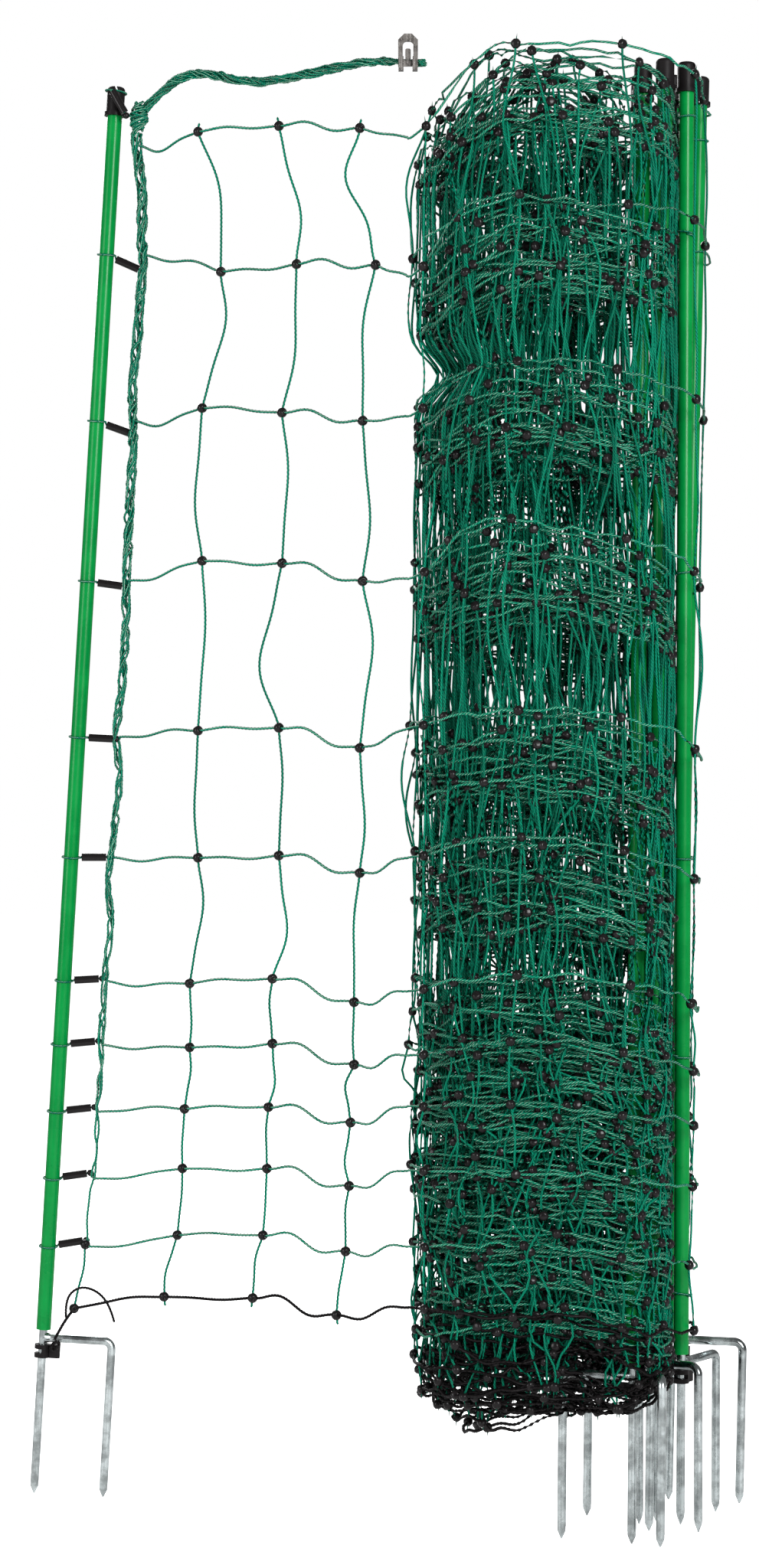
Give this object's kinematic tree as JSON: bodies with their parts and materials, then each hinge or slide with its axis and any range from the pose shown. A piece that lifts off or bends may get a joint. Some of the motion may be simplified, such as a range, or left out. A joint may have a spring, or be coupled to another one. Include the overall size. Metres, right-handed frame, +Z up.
{
  "type": "electric net fence",
  "caption": "Portable electric net fence, partly rolled: leaning end post, open mesh panel with a lead and metal clip, loose roll of net and bundled fork-footed posts.",
  "frame": {"origin": "on the floor, under the middle of the standing object's box", "axes": "+Z up along the posts, -Y the front, +X from the end post towards the roll"},
  "size_m": [0.6767, 0.223, 1.366],
  "materials": {
    "post_plastic": "gloss",
    "black_plastic": "satin",
    "bead_plastic": "gloss",
    "spike_steel": "satin",
    "connector_steel": "satin",
    "green_cord": "satin",
    "bottom_cord": "satin"
  },
  "bodies": {
    "roll": {"net_roll_lower": "green_cord", "net_roll_middle": "green_cord", "net_roll_upper": "green_cord", "bottom_cord_coil": "bottom_cord", "bundle_clips": "black_plastic", "bundle_loops": "green_cord"},
    "panel": {"end_post_clip": "black_plastic", "end_post_loops": "green_cord", "end_post_sleeves": "bead_plastic", "sleeve_beads": "bead_plastic", "side_rope": "green_cord", "side_rope_knot": "green_cord", "panel_conductors": "green_cord", "panel_verticals": "green_cord", "panel_bottom_cord": "bottom_cord", "panel_beads": "bead_plastic", "clip_cord": "bottom_cord", "clip_knot": "bottom_cord", "tail_cord": "bottom_cord", "connection_lead": "green_cord", "connector_plate": "connector_steel", "connector_crimps": "connector_steel"},
    "connector_tongue": {"connector_tongue": "connector_steel"},
    "bundle_post_1": {"bundle_post_1_tube": "post_plastic", "bundle_post_1_cap": "black_plastic", "bundle_post_1_bush": "black_plastic", "bundle_post_1_spike": "spike_steel", "bundle_post_1_side_prong": "spike_steel"},
    "bundle_post_2": {"bundle_post_2_tube": "post_plastic", "bundle_post_2_cap": "black_plastic", "bundle_post_2_bush": "black_plastic", "bundle_post_2_spike": "spike_steel", "bundle_post_2_side_prong": "spike_steel"},
    "bundle_post_3": {"bundle_post_3_tube": "post_plastic", "bundle_post_3_cap": "black_plastic", "bundle_post_3_bush": "black_plastic", "bundle_post_3_spike": "spike_steel", "bundle_post_3_side_prong": "spike_steel"},
    "bundle_post_4": {"bundle_post_4_tube": "post_plastic", "bundle_post_4_cap": "black_plastic", "bundle_post_4_bush": "black_plastic", "bundle_post_4_spike": "spike_steel", "bundle_post_4_side_prong": "spike_steel"},
    "bundle_post_5": {"bundle_post_5_tube": "post_plastic", "bundle_post_5_cap": "black_plastic", "bundle_post_5_bush": "black_plastic", "bundle_post_5_spike": "spike_steel", "bundle_post_5_side_prong": "spike_steel"},
    "bundle_post_6": {"bundle_post_6_tube": "post_plastic", "bundle_post_6_cap": "black_plastic", "bundle_post_6_bush": "black_plastic", "bundle_post_6_spike": "spike_steel", "bundle_post_6_side_prong": "spike_steel"},
    "end_post": {"end_post_tube": "post_plastic", "end_post_cap": "black_plastic", "end_post_bush": "black_plastic", "end_post_spike": "spike_steel", "end_post_side_prong": "spike_steel"}
  },
  "joints": [
    {"name": "panel_swing", "type": "hinge", "parent": "roll", "child": "panel", "pos_m": [0.026, -0.074, 0], "axis": [0, 0, 1], "range_deg": [-35, 60]},
    {"name": "end_post_spin", "type": "hinge", "parent": "panel", "child": "end_post", "pos_m": [-0.3325, 0.097, 0.00387], "axis": [0.0586, 0, 0.9983], "range_deg": [0, 170]},
    {"name": "bundle_post_1_spin", "type": "hinge", "parent": "roll", "child": "bundle_post_1", "pos_m": [0.275, -0.019, 0.00033], "axis": [0.0045, 0.003, 1], "range_deg": [-10, 10]},
    {"name": "bundle_post_2_spin", "type": "hinge", "parent": "roll", "child": "bundle_post_2", "pos_m": [0.268, 0.027, 0.01319], "axis": [0.0275, 0.052, 0.9983], "range_deg": [-10, 10]},
    {"name": "bundle_post_3_spin", "type": "hinge", "parent": "roll", "child": "bundle_post_3", "pos_m": [0.254, -0.003, 0], "axis": [0.0141, 0.0297, 0.9995], "range_deg": [-10, 10]},
    {"name": "bundle_post_4_spin", "type": "hinge", "parent": "roll", "child": "bundle_post_4", "pos_m": [0.224, -0.097, 0.00066], "axis": [0.0126, 0.0609, 0.9981], "range_deg": [-10, 10]},
    {"name": "bundle_post_5_spin", "type": "hinge", "parent": "roll", "child": "bundle_post_5", "pos_m": [0.237, -0.016, 0], "axis": [0.0052, 0.0579, 0.9983], "range_deg": [-10, 10]},
    {"name": "bundle_post_6_spin", "type": "hinge", "parent": "roll", "child": "bundle_post_6", "pos_m": [0.244, -0.043, 0], "axis": [0.0119, 0.0089, 0.9999], "range_deg": [-10, 10]},
    {"name": "tongue_flex", "type": "hinge", "parent": "panel", "child": "connector_tongue", "pos_m": [0.024, -0.049, 1.3419], "axis": [1, 0, 0], "range_deg": [-12, 12], "stiffness_Nm_per_rad": 0.004}
  ]
}
